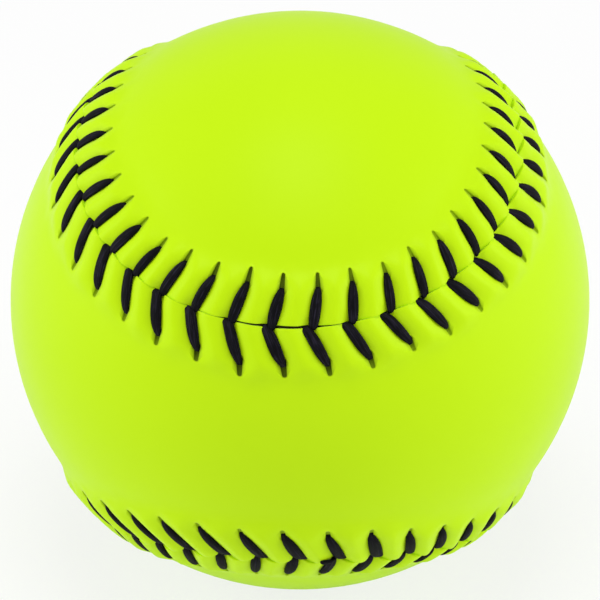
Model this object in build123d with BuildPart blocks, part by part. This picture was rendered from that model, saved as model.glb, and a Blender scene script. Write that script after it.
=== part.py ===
"""Twelve-inch softball, sewn from two figure-eight panels over a moulded core.

Frame: origin at the ball's centre, +Z up. The front panel's narrow waist looks along -Y and its
lobes lie at +X and -X. The back panel's waist looks along +Y and its lobes lie at +Z and -Z.
Places near the seam are given as a distance along the seam, a distance across it on the ball's
surface (positive towards the front panel) and a radius from the ball's centre.
"""

import os
from bisect import bisect_left
from math import asin, cos, pi, sin, tan

from build123d import *

# Ball and cover, in millimetres
BALL_CIRCUMFERENCE = 304.8
WAIST_WIDTH = 43.9
LOBE_SHAPE = 0.369  # share of the seam's first wave left at a waist: sets how full the lobes are
FACE_THICKNESS = 0.8
BACKING_THICKNESS = 1.2
CEMENT_THICKNESS = 0.25
BOND_GAP = 0.04

# Raised edge of the panels along the seam
LIP_WIDTH = 1.2
LIP_DROP = 0.5
WELT_TOP_WIDTH = 7.9
WELT_FLANK = 1.6
FLANK_DIP = 0.2
FLANK_OVERLAP = 0.3

# Stitching
STITCH_COUNT = 88
FIRST_STITCH = 42
HOLE_SETBACK = 5.9
HOLE_LENGTH = 2.0
CROSSING_LEAD = 2.0
CROSSING_SPREAD = 1.2
THREAD_CLEARANCE = 0.1
THREAD_WIDTH = 0.9
THREAD_HEIGHT = 0.6
LEG_WIDTH = 1.9
LEG_HEIGHT = 1.0
TAIL_LENGTH = 2.4

# Radii and widths that follow from the sizes above
ball_radius = BALL_CIRCUMFERENCE / (2 * pi)
face_inner = ball_radius - FACE_THICKNESS
backing_outer = face_inner - BOND_GAP
backing_inner = backing_outer - BACKING_THICKNESS
cement_outer = backing_inner - BOND_GAP
cement_inner = cement_outer - CEMENT_THICKNESS
core_radius = cement_inner - BOND_GAP
welt_rise = THREAD_HEIGHT + 2 * THREAD_CLEARANCE - BOND_GAP
welt_foot = WELT_TOP_WIDTH + WELT_FLANK
seam_gap = THREAD_HEIGHT + 2 * THREAD_CLEARANCE
lip_end = seam_gap / 2 + LIP_WIDTH
hole_width = THREAD_WIDTH + 2 * THREAD_CLEARANCE
hole_start = HOLE_SETBACK - THREAD_HEIGHT / 2 - THREAD_CLEARANCE
cover_depth = ball_radius + welt_rise - backing_inner

# The seam: a closed curve of two crossed waves, pushed out to a sphere
SEAM_SAMPLES = 720
QUARTER_SECTIONS = 13
wave_major = (1 + LOBE_SHAPE) / 2
wave_minor = (1 - LOBE_SHAPE) / 2
wave_depth = LOBE_SHAPE / tan(WAIST_WIDTH / 2 / ball_radius)


def seam_outward(turn):
    """Unit vector from the ball's centre to the seam, turn running once round in 0 to 2 pi."""
    return Vector(
        wave_major * sin(turn) + wave_minor * sin(3 * turn),
        -wave_depth * cos(2 * turn),
        wave_major * cos(turn) - wave_minor * cos(3 * turn),
    ).normalized()


sample_turns = [2 * pi * i / SEAM_SAMPLES for i in range(SEAM_SAMPLES + 1)]
seam_lengths = [0.0]
for here, there in zip(sample_turns, sample_turns[1:]):
    chord = (seam_outward(there) - seam_outward(here)).length
    seam_lengths.append(seam_lengths[-1] + 2 * asin(chord / 2) * ball_radius)
seam_length = seam_lengths[-1]
stitch_pitch = seam_length / STITCH_COUNT


def turn_at(along):
    """Turn of the seam point at a distance along the seam."""
    along = along % seam_length
    right = max(1, bisect_left(seam_lengths, along))
    left = right - 1
    share = (along - seam_lengths[left]) / (seam_lengths[right] - seam_lengths[left])
    return sample_turns[left] + share * (sample_turns[right] - sample_turns[left])


def seam_frame(turn):
    """Outward, along-seam and towards-front unit vectors at a turn of the seam."""
    step = pi / SEAM_SAMPLES
    outward = seam_outward(turn)
    along = (seam_outward(turn + step) - seam_outward(turn - step)).normalized()
    return outward, along, along.cross(outward).normalized()


def place(turn, across, radius):
    """Point near the seam, from a turn, a distance across the seam and a radius."""
    outward, _, front = seam_frame(turn)
    angle = across / ball_radius
    return (outward * cos(angle) + front * sin(angle)) * radius


def section_plane(turn):
    """Plane across the seam: X towards the front panel, Y outward, origin at the ball's centre."""
    _, along, front = seam_frame(turn)
    return Plane(origin=(0, 0, 0), x_dir=front, z_dir=along * -1)


def polar(across, radius):
    """Point in a section plane, from its distance across the seam and its radius."""
    angle = across / ball_radius
    return (radius * sin(angle), radius * cos(angle))


def welt_corners(outer, inner, lip_drop):
    """Corners of a layer's raised edge in section, from the seam's lip to inside the plain shell."""
    lip_start = seam_gap / 2
    top_middle = (lip_end + hole_start) / 2
    top = [lip_end, top_middle, WELT_TOP_WIDTH]
    flank_end = welt_foot + WELT_FLANK * FLANK_DIP / welt_rise
    return [
        polar(lip_start, outer + welt_rise - lip_drop),
        *[polar(across, outer + welt_rise) for across in top],
        polar(flank_end, outer - FLANK_DIP),
        polar(welt_foot + FLANK_OVERLAP, inner + BOND_GAP),
        *[polar(across, inner + welt_rise) for across in reversed(top)],
        polar(lip_start, inner + welt_rise),
    ]


def shell_cut(inner, outer):
    """Face that parts the plain inside of the front panel's quarter from the rest of its shell."""
    step = pi / 2 / (QUARTER_SECTIONS - 1)
    turns = [step * i for i in range(-1, QUARTER_SECTIONS + 1)]
    edge = welt_foot + FLANK_OVERLAP / 2
    rails = [
        Edge.make_spline([place(turn, edge, radius) for turn in turns])
        for radius in (inner - cover_depth, outer + cover_depth)
    ]
    return Face.make_surface_from_curves(*rails)


def hole_plane(index):
    """Plane on the ball at one stitch hole of the front panel, X pointing away from the seam."""
    turn = turn_at(index * stitch_pitch)
    across = hole_start + HOLE_LENGTH / 2
    outward = place(turn, across, 1)
    away = place(turn, across + HOLE_LENGTH, 1) - outward
    return Plane(origin=outward * ball_radius, x_dir=away, z_dir=outward)


quarter_turns = [pi / 2 * i / (QUARTER_SECTIONS - 1) for i in range(QUARTER_SECTIONS)]
quarter_holes = [hole_plane(index) for index in range(STITCH_COUNT // 4 + 1)]
panel_swap = Axis(origin=(0, 0, 0), direction=(1, 0, 1))


def front_panel_layer(outer, inner, lip_drop):
    """One layer of the front panel: a quarter with its raised edge and holes, mirrored twice."""
    with BuildPart() as shell:
        with BuildSketch(Plane.YZ):
            with BuildLine():
                CenterArc((0, 0), outer, 90, 90)
                CenterArc((0, 0), inner, 90, 90)
                Line((0, inner), (0, outer))
                Line((-inner, 0), (-outer, 0))
            make_face()
        revolve(axis=Axis.Z, revolution_arc=180)
        split(bisect_by=shell_cut(inner, outer), keep=Keep.ALL)
    with BuildPart() as quarter:
        for turn in quarter_turns:
            with BuildSketch(section_plane(turn)):
                with BuildLine():
                    Polyline(*welt_corners(outer, inner, lip_drop), close=True)
                make_face()
        loft()
        with BuildSketch(*quarter_holes):
            SlotOverall(HOLE_LENGTH, hole_width)
        extrude(amount=cover_depth, both=True, mode=Mode.SUBTRACT)
        add(shell.part.solids().sort_by(Axis.Y)[0], clean=False)
    with BuildPart() as layer:
        add(quarter.part)
        add(layer.part.mirror(Plane.YZ), clean=False)
        add(layer.part.mirror(Plane.XY), clean=False)
    return layer.part


# Radii of the thread's middle line: under the panels, over their raised tops, and over their lips
under_radius = cement_outer + THREAD_CLEARANCE + THREAD_HEIGHT / 2
welt_top = ball_radius + welt_rise
leg_radius = welt_top + THREAD_CLEARANCE + LEG_HEIGHT / 2
end_radius = welt_top + THREAD_CLEARANCE + THREAD_HEIGHT / 2
thread_size = (THREAD_WIDTH, THREAD_HEIGHT)
leg_size = (LEG_WIDTH, LEG_HEIGHT)
leg_end_size = ((THREAD_WIDTH + LEG_WIDTH) / 2, THREAD_HEIGHT)


def stitch_stops(index, side):
    """Stops of the thread through one stitch, as (along, across, radius, size), side 1 for the front.

    The thread comes up its hole, swells over the panel, turns down between the two lips and
    runs on under the other panel, half way to that panel's next hole.
    """
    hole = index * stitch_pitch
    crossing = hole - CROSSING_LEAD - side * CROSSING_SPREAD / 2
    next_hole = hole - stitch_pitch
    leg_middle = (hole + crossing) / 2
    lip = crossing + (hole - crossing) * lip_end / HOLE_SETBACK
    return [
        (hole, side * HOLE_SETBACK, under_radius, thread_size),
        (hole, side * HOLE_SETBACK, end_radius, thread_size),
        (leg_middle, side * HOLE_SETBACK / 2, leg_radius, leg_size),
        (lip, side * lip_end, end_radius, leg_end_size),
        (crossing, 0, welt_top, thread_size),
        (crossing, 0, under_radius, thread_size),
        ((crossing + next_hole) / 2, -side * HOLE_SETBACK / 2, under_radius, thread_size),
    ]


def thread_stops(first_side):
    """Stops of one whole thread, which changes panel at every stitch and ends under the cover."""
    stops = []
    for step in range(STITCH_COUNT):
        side = first_side if step % 2 == 0 else -first_side
        stops += stitch_stops(FIRST_STITCH - step, side)
    return stops[:-1]


def tail_stops(stops):
    """The same thread with its last end left out, lying over the lip of the other panel."""
    *earlier, lip, crossing, _ = stops
    lip_across = lip[1]
    along, across, _, size = crossing
    return [
        *earlier,
        lip,
        (along, across, end_radius, size),
        (along - TAIL_LENGTH, -lip_across, end_radius, size),
    ]


def thread_planes(stops):
    """Section planes along a thread, X along the seam and Z along the thread."""
    points = [place(turn_at(along), across, radius) for along, across, radius, _ in stops]
    before = points[:1] + points[:-1]
    after = points[1:] + points[-1:]
    planes = []
    for stop, point, back, ahead in zip(stops, points, before, after):
        _, along, _ = seam_frame(turn_at(stop[0]))
        heading = (ahead - back).normalized()
        wide = along - heading * along.dot(heading)
        planes.append(Plane(origin=point, x_dir=wide, z_dir=heading))
    return planes


def flat_hexagon(width, height):
    """Corners of a thread's flattened section."""
    return [
        (width / 2, 0),
        (width / 4, height / 2),
        (-width / 4, height / 2),
        (-width / 2, 0),
        (-width / 4, -height / 2),
        (width / 4, -height / 2),
    ]


def thread(stops):
    """One unbroken thread through all its stops, skinned with flat triangles."""
    rings = [
        [plane.from_local_coords(corner) for corner in flat_hexagon(*size)]
        for (_, _, _, size), plane in zip(stops, thread_planes(stops))
    ]
    skins = [rings[0], rings[-1]]
    for near, far in zip(rings, rings[1:]):
        for i in range(len(near)):
            skins.append([near[i - 1], near[i], far[i]])
            skins.append([near[i - 1], far[i], far[i - 1]])
    with BuildPart() as strand:
        add(Solid(Shell([Face(Wire.make_polygon(corners)) for corners in skins])), clean=False)
    return strand.part


with BuildPart() as core:
    Sphere(core_radius)

with BuildPart() as cement_coat:
    Sphere(cement_outer)
    Sphere(cement_inner, mode=Mode.SUBTRACT)

with BuildPart() as front_panel_face:
    add(front_panel_layer(ball_radius, face_inner, LIP_DROP))

with BuildPart() as front_panel_backing:
    add(front_panel_layer(backing_outer, backing_inner, 0))

with BuildPart() as back_panel_face:
    add(front_panel_face.part.rotate(panel_swap, 180))

with BuildPart() as back_panel_backing:
    add(front_panel_backing.part.rotate(panel_swap, 180))

with BuildPart() as thread_one:
    add(thread(thread_stops(1)))

with BuildPart() as thread_two:
    add(thread(tail_stops(thread_stops(-1))))

os.makedirs("parts", exist_ok=True)
for name, piece in {
    "core": core,
    "cement_coat": cement_coat,
    "front_panel_face": front_panel_face,
    "front_panel_backing": front_panel_backing,
    "back_panel_face": back_panel_face,
    "back_panel_backing": back_panel_backing,
    "thread_one": thread_one,
    "thread_two": thread_two,
}.items():
    piece.part.label = name
    export_step(piece.part, f"parts/{name}.step")
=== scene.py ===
"""Looks of a twelve-inch softball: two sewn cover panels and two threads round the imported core.

Sizes in the classes are millimetres and degrees, and become metres and radians where a mesh or a node
tree is made. Near the seam a flat frame is used: x across the seam, positive towards the front panel,
y along the seam and z outwards from the ball. A node tree repeats such flat pieces along the seam and
wraps them round the ball.
"""

import logging
import math
from dataclasses import dataclass, field, fields
from enum import Enum
from typing import Callable, Sequence, TypeVar, Union

import bmesh
import bpy
import numpy as np
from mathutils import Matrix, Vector
from mathutils.geometry import delaunay_2d_cdt

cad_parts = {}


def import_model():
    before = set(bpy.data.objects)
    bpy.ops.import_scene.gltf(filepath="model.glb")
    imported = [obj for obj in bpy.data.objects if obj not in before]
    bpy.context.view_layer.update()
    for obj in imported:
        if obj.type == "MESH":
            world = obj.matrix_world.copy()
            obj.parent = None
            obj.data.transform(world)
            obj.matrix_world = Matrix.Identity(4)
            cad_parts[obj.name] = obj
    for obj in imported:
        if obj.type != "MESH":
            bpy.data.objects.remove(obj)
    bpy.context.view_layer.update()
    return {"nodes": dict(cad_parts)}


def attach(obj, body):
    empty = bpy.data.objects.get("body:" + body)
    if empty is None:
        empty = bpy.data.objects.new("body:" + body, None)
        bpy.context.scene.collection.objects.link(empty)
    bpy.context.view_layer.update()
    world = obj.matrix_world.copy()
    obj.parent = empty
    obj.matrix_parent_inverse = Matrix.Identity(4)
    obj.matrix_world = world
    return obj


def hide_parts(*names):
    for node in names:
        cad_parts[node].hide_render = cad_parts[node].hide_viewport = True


MM = 0.001
DEGREE = math.radians(1)
BODY = "root"
SAME_PLACE = 1e-6
WHOLE_HULL, INSIDE_LOOP = 0, 1
OUTER_BORDER, INNER_BORDER = 1, 2
BLACK, WHITE = (0.0, 0.0, 0.0), (1.0, 1.0, 1.0)
Colour = tuple[float, float, float]
Either = TypeVar("Either")
log = logging.getLogger("softball")


def smooth_step(share: np.ndarray) -> np.ndarray:
    """Eases shares in and out from 0 to 1, and clips what lies beyond."""
    inside = np.clip(share, 0, 1)
    return inside * inside * (3 - 2 * inside)


def bell(distance: np.ndarray, width: float) -> np.ndarray:
    """A soft rise: 1 at no distance, falling to 0 beyond the width."""
    return np.exp(-((distance / width) ** 2))


def unit(vectors: np.ndarray) -> np.ndarray:
    """One vector, or one in each row, brought to a length of 1."""
    return vectors / np.linalg.norm(vectors, axis=-1, keepdims=True)


def show(name: str, data: bpy.types.ID) -> bpy.types.Object:
    """Makes an object of its data and links it to the scene."""
    made = bpy.data.objects.new(name, data)
    bpy.context.scene.collection.objects.link(made)
    return made


def aim(made: bpy.types.Object, place: Vector) -> None:
    """Puts a camera or a lamp at a place, in metres, and turns it to the ball's centre."""
    made.location = place
    made.rotation_mode = "QUATERNION"
    made.rotation_quaternion = (-place).to_track_quat("-Z", "Y")


class Side(Enum):
    """The panel that a piece of the cover or a stitch belongs to."""

    FRONT = 1
    BACK = -1

    @property
    def label(self) -> str:
        """The panel's word in the names of pieces."""
        return self.name.lower()

    @property
    def other(self) -> "Side":
        """The panel across the seam."""
        return Side(-self.value)

    @property
    def back(self) -> float:
        """One on the back panel and zero on the front panel."""
        return self.pick(0.0, 1.0)

    def pick(self, front: Either, back: Either) -> Either:
        """The one of two values that belongs to this panel."""
        return front if self is Side.FRONT else back


class Uneven(Enum):
    """What varies from stitch to stitch, with the shift of its own noise."""

    PHASE = 0.0
    REACH = 3.0
    GIRTH = 6.0


def math_operator(operation: str, reflected: bool = False) -> Callable[["Socket", "Number"], "Socket"]:
    """Makes a method of Socket that adds a Math node.

    Args:
        operation: The Math node's operation.
        reflected: Whether the other value comes first.

    Returns:
        The method.
    """

    def method(self: "Socket", other: "Number") -> "Socket":
        """Adds the node on this output and another value."""
        return self.graph.math(operation, *((other, self) if reflected else (self, other)))

    return method


class Socket:
    """A node's output. Python's operators on it add Math nodes."""

    __add__, __radd__ = math_operator("ADD"), math_operator("ADD", reflected=True)
    __sub__, __rsub__ = math_operator("SUBTRACT"), math_operator("SUBTRACT", reflected=True)
    __mul__, __rmul__ = math_operator("MULTIPLY"), math_operator("MULTIPLY", reflected=True)
    __truediv__, __rtruediv__ = math_operator("DIVIDE"), math_operator("DIVIDE", reflected=True)
    __pow__, __rpow__ = math_operator("POWER"), math_operator("POWER", reflected=True)

    def __init__(self, graph: "Graph", link: bpy.types.NodeSocket) -> None:
        """Keeps the graph and the output that is wrapped."""
        self.graph = graph
        self.link = link


Number = Union[Socket, float, int]
Feed = Union[Socket, float, int, str, Sequence[float], bpy.types.ID]


class Graph:
    """One node tree, shader or geometry, and the only way that nodes come into it."""

    def __init__(self, tree: bpy.types.NodeTree) -> None:
        """Keeps the tree."""
        self.tree = tree

    @classmethod
    def of(cls, owner: bpy.types.Material | bpy.types.World) -> "Graph":
        """Gives a material or a world an empty node tree."""
        owner.use_nodes = True
        owner.node_tree.nodes.clear()
        return cls(owner.node_tree)

    def node(
        self,
        kind: str,
        settings: dict[str, object] | None = None,
        inputs: dict[str | int, Feed] | None = None,
    ) -> bpy.types.Node:
        """Adds a node.

        Args:
            kind: Blender's name of the node's type.
            settings: Properties, set first. A ramp takes its (place, colour) pairs as stops.
            inputs: Values or links of its input sockets, by name or number.

        Returns:
            The new node.
        """
        made = self.tree.nodes.new(kind)
        for name, value in (settings or {}).items():
            if name == "stops":
                self._set_stops(made.color_ramp, value)
            else:
                setattr(made, name, value)
        for key, value in (inputs or {}).items():
            self._feed(made.inputs[key], value)
        return made

    @staticmethod
    def _set_stops(ramp: bpy.types.ColorRamp, stops: Sequence[tuple[float, Colour]]) -> None:
        """Gives a colour ramp its stops."""
        while len(ramp.elements) < len(stops):
            ramp.elements.new(1.0)
        for element, (place, colour) in zip(ramp.elements, stops):
            element.position = place
            element.color = (*colour, 1.0)

    def _feed(self, socket: bpy.types.NodeSocket, value: Feed) -> None:
        """Links an output to a socket, or sets the socket's own value."""
        if isinstance(value, Socket):
            self.tree.links.new(value.link, socket)
        else:
            socket.default_value = value

    def out(self, node: bpy.types.Node, name: str | int = 0) -> Socket:
        """Wraps one output of a node."""
        return Socket(self, node.outputs[name])

    def math(self, operation: str, *values: Number) -> Socket:
        """Adds a Math node on one, two or three values."""
        return self.out(self.node("ShaderNodeMath", {"operation": operation}, dict(enumerate(values))))

    def vector(self, operation: str, *values: Feed) -> Socket:
        """Adds a Vector Math node whose result is a vector."""
        made = self.node("ShaderNodeVectorMath", {"operation": operation}, dict(enumerate(values)))
        return self.out(made, "Vector")

    def scaled(self, vector: Feed, factor: Number) -> Socket:
        """Adds a vector times a value."""
        made = self.node("ShaderNodeVectorMath", {"operation": "SCALE"}, {"Vector": vector, "Scale": factor})
        return self.out(made, "Vector")

    def combine(self, x: Number, y: Number, z: Number) -> Socket:
        """Adds a vector of three values."""
        return self.out(self.node("ShaderNodeCombineXYZ", inputs={"X": x, "Y": y, "Z": z}))

    def split(self, vector: Socket) -> tuple[Socket, Socket, Socket]:
        """Adds the three values of a vector."""
        made = self.node("ShaderNodeSeparateXYZ", inputs={0: vector})
        return self.out(made, "X"), self.out(made, "Y"), self.out(made, "Z")

    def mix(self, factor: Number, one: Socket | Colour, two: Socket | Colour) -> Socket:
        """Adds a mix of two colours."""
        one, two = (value if isinstance(value, Socket) else (*value, 1.0) for value in (one, two))
        made = self.node("ShaderNodeMix", {"data_type": "RGBA"}, {0: factor, 6: one, 7: two})
        return self.out(made, 2)

    def noise(self, place: Socket, scale: Number, detail: float = 2.0, roughness: float = 0.5) -> Socket:
        """Adds a noise texture and returns its value."""
        inputs = {"Vector": place, "Scale": scale, "Detail": detail, "Roughness": roughness}
        return self.out(self.node("ShaderNodeTexNoise", inputs=inputs))

    def cells(self, place: Socket, scale: float, feature: str = "F1") -> Socket:
        """Adds a cell texture and returns the distance from its cells."""
        inputs = {"Vector": place, "Scale": scale}
        return self.out(self.node("ShaderNodeTexVoronoi", {"feature": feature}, inputs), "Distance")

    def object_place(self) -> Socket:
        """Adds a piece's own coordinates."""
        return self.out(self.node("ShaderNodeTexCoord"), "Object")


@dataclass(frozen=True)
class Seam:
    """The closed seam line: two crossed waves, pushed out to a sphere."""

    ball_radius: float = 304.8 / (2 * math.pi)
    waist_width: float = 43.9
    lobe_shape: float = 0.369
    stitch_count: int = 88
    samples: int = 2880

    @property
    def wave_major(self) -> float:
        """Size of the seam's first wave."""
        return (1 + self.lobe_shape) / 2

    @property
    def wave_minor(self) -> float:
        """Size of the seam's third wave."""
        return (1 - self.lobe_shape) / 2

    @property
    def wave_depth(self) -> float:
        """Size of the wave that swings the seam from panel to panel."""
        return self.lobe_shape / math.tan(self.waist_width / 2 / self.ball_radius)

    def outward(self) -> np.ndarray:
        """Unit vectors from the ball's centre to evenly turned points of the seam."""
        turn = np.arange(self.samples) * (2 * math.pi / self.samples)
        waves = [
            self.wave_major * np.sin(turn) + self.wave_minor * np.sin(3 * turn),
            -self.wave_depth * np.cos(2 * turn),
            self.wave_major * np.cos(turn) - self.wave_minor * np.cos(3 * turn),
        ]
        return unit(np.stack(waves, axis=1))

    def towards_front(self) -> np.ndarray:
        """Unit vectors across the seam, towards the front panel, at the points of outward()."""
        outward = self.outward()
        along = np.roll(outward, -1, axis=0) - np.roll(outward, 1, axis=0)
        return unit(np.cross(along, outward))

    @property
    def pitch(self) -> float:
        """Length of seam from one stitch to the next."""
        outward = self.outward()
        chords = np.linalg.norm(np.roll(outward, -1, axis=0) - outward, axis=1)
        return float(np.sum(2 * np.arcsin(chords / 2))) * self.ball_radius / self.stitch_count


def tree_input(value: float, factor: float = 1.0) -> float:
    """Makes a dataclass field that the node tree takes as an input.

    Args:
        value: The field's value, in millimetres, degrees or as a share.
        factor: What brings it to the tree's unit.

    Returns:
        The field.
    """
    return field(default=value, metadata={"factor": factor})


@dataclass(frozen=True)
class Sewing:
    """Where the holes and crossings of the stitches lie, and how the sewing varies round the ball.

    Four stretches of the seam differ from the rest, each round its own turn and over its own width: the
    middle, a tight one, a short one, and the one where the holes gape.
    """

    seed: int = 7

    # A hole's distance from the seam, and how far its leg runs along the seam to the crossing.
    hole_across: float = 6.0
    front_lead: float = 2.5
    back_lead: float = 1.2

    # The spread stretches a panel's stitches across the seam, as far as the knee.
    spread_knee: float = 8.0
    front_spread: float = tree_input(1.04)
    front_spread_swing: float = tree_input(-0.04)
    back_spread: float = tree_input(0.94)

    # Shifts along the seam: of the back panel's stitches, and of all, in pitches, by waves over the round.
    back_shift: float = tree_input(-0.12, MM)
    phase: float = tree_input(-0.198)
    phase_cosine_1: float = tree_input(-0.142)
    phase_sine_1: float = tree_input(-0.101)
    phase_cosine_2: float = tree_input(0.193)
    phase_sine_2: float = tree_input(0.087)

    # Unevenness of hand sewing: of the phase, the reach, the threads' girth and the leather's height.
    jitter: float = tree_input(0.06)
    reach_jitter: float = tree_input(0.13)
    girth_jitter: float = tree_input(0.35)
    pucker: float = tree_input(0.12, MM)

    # At the middle the lips part, and the back panel's stitches are pulled along the seam.
    opening: float = tree_input(0.2, MM)
    opening_sharpness: float = 300.0
    middle_turn: float = tree_input(-6.0, DEGREE)
    middle_width: float = tree_input(11.0, DEGREE)
    middle_shift: float = tree_input(-0.75, MM)

    # Where it is tight, front legs lean and are thin at the seam, and the cover swells over the thread.
    tight_turn: float = tree_input(42.0, DEGREE)
    tight_width: float = tree_input(17.0, DEGREE)
    tight_slant: float = tree_input(-0.18)
    tight_head: float = tree_input(0.1)
    tight_foot: float = tree_input(-0.5)
    cover_swell: float = 0.3
    thread_dive: float = -0.75

    # Where it is short, the legs reach less far and the seam drifts towards the back panel.
    short_turn: float = tree_input(160.0, DEGREE)
    short_width: float = tree_input(12.0, DEGREE)
    short_spread: float = tree_input(-0.2)
    short_back_spread: float = tree_input(-0.25)
    short_drift: float = tree_input(1.0, MM)

    # Where the holes gape, they are wider and their painted shade is darker than the plain shade elsewhere.
    gape_turn: float = tree_input(-2.0, DEGREE)
    gape_width: float = tree_input(14.0, DEGREE)
    gape_widen: float = 0.55
    gape_shade: float = tree_input(1.35)
    plain_shade: float = tree_input(0.6)

    def lead(self, side: Side) -> float:
        """Distance along the seam from a hole of a panel to the place where its leg meets the seam."""
        return side.pick(self.front_lead, self.back_lead)

    def tree_inputs(self) -> dict[str, float]:
        """Values of the node tree's inputs by name, in metres, radians and shares."""
        chosen = [size for size in fields(self) if "factor" in size.metadata]
        names = [size.name.replace("_", " ").title() for size in chosen]
        return {name: getattr(self, size.name) * size.metadata["factor"] for name, size in zip(names, chosen)}


@dataclass(frozen=True)
class Welt:
    """Section of a panel's raised and rolled edge, as places across the seam and heights on the ball."""

    gap: float = 0.002
    lip_foot: float = -0.02
    lip_centre: float = 0.79
    lip_radius: float = 0.06
    lip_sweep: float = 65.0
    lip_steps: int = 5
    wall_share: float = 0.25
    foot_row: float = -1.0
    row_step: float = 0.42
    even_rows_end: float = 12.4
    last_row: float = 12.9
    reach: float = 14.0
    thickness: float = 0.8
    front_rise: float = 0.12
    top: tuple[tuple[float, float], ...] = (
        (0.035, 0.845),
        (1.2, 0.91),
        (3.0, 0.9),
        (5.0, 0.84),
        (6.4, 0.71),
        (7.6, 0.47),
        (8.8, 0.2),
        (9.8, 0.05),
        (11.0, 0.0),
        (12.4, 0.0),
        (14.0, 0.0),
    )
    inside: tuple[tuple[float, float], ...] = (
        (0.85, -0.02),
        (1.7, 0.05),
        (5.0, 0.04),
        (7.6, -0.4),
        (9.8, -0.87),
        (14.0, -0.8),
    )

    def height(self, across: np.ndarray) -> np.ndarray:
        """Height of the edge's top at places across the seam, by a smooth line through its points."""
        places, heights = np.array(self.top).T
        slopes = np.gradient(heights, places)
        index = np.clip(np.searchsorted(places, across) - 1, 0, len(places) - 2)
        span = places[index + 1] - places[index]
        share = np.clip((across - places[index]) / span, 0, 1)
        rise = heights[index + 1] - heights[index]
        near, far = slopes[index] * span - rise, rise - slopes[index + 1] * span
        blend = share * (1 - share) * (near * (1 - share) + far * share)
        return heights[index] + rise * share + blend

    def rows(self) -> np.ndarray:
        """Flat places of the mesh's rows: the lip below its join with the top, then the top."""
        lip = np.linspace(self.foot_row, self.lip_join, self.lip_steps + 2)[:-1]
        top = np.arange(self.lip_join, self.even_rows_end, self.row_step)
        return np.concatenate([lip, top, [self.last_row, self.reach]])

    @property
    def lip_join(self) -> float:
        """Flat place where the rolled lip runs into the top."""
        return self.gap + self.lip_radius * (1 - math.cos(math.radians(self.lip_sweep)))

    def section(self, row: np.ndarray) -> tuple[np.ndarray, np.ndarray]:
        """Places across the seam and heights that belong to flat rows.

        Args:
            row: Flat places. From the lip's join on, they are places across the seam.

        Returns:
            Places across the seam, and heights above the ball.
        """
        lip_share = np.clip((row - self.foot_row) / (self.lip_join - self.foot_row), 0, 1)
        wall = np.clip(lip_share / self.wall_share, 0, 1)
        roll_share = np.clip((lip_share - self.wall_share) / (1 - self.wall_share), 0, 1)
        roll = roll_share * math.radians(self.lip_sweep)
        lip_across = self.gap + self.lip_radius * (1 - np.cos(roll))
        lip_height = self.lip_foot + (self.lip_centre - self.lip_foot) * wall + self.lip_radius * np.sin(roll)
        on_top = row >= self.lip_join
        return np.where(on_top, row, lip_across), np.where(on_top, self.height(row), lip_height)


@dataclass
class FlatPiece:
    """A flat mesh in the seam's frame, gathered face by face."""

    points: list[tuple[float, float, float]] = field(default_factory=list)
    faces: list[tuple[int, ...]] = field(default_factory=list)
    marks: dict[str, list[float]] = field(default_factory=dict)

    def add(self, point: Sequence[float], **marks: float) -> int:
        """Adds a point with its marks.

        Args:
            point: Place across, place along and height, in millimetres.
            marks: Values of the point's attributes.

        Returns:
            The point's number.
        """
        self.points.append(tuple(float(value) for value in point))
        for name, value in marks.items():
            self.marks.setdefault(name, []).append(float(value))
        return len(self.points) - 1

    def to_object(self, name: str) -> bpy.types.Object:
        """Makes a Blender object of it, in metres, that no collection shows."""
        mesh = bpy.data.meshes.new(name)
        mesh.from_pydata([Vector(point) * MM for point in self.points], [], self.faces)
        for mark, values in self.marks.items():
            mesh.attributes.new(mark, "FLOAT", "POINT").data.foreach_set("value", values)
        return bpy.data.objects.new(name, mesh)


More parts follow.
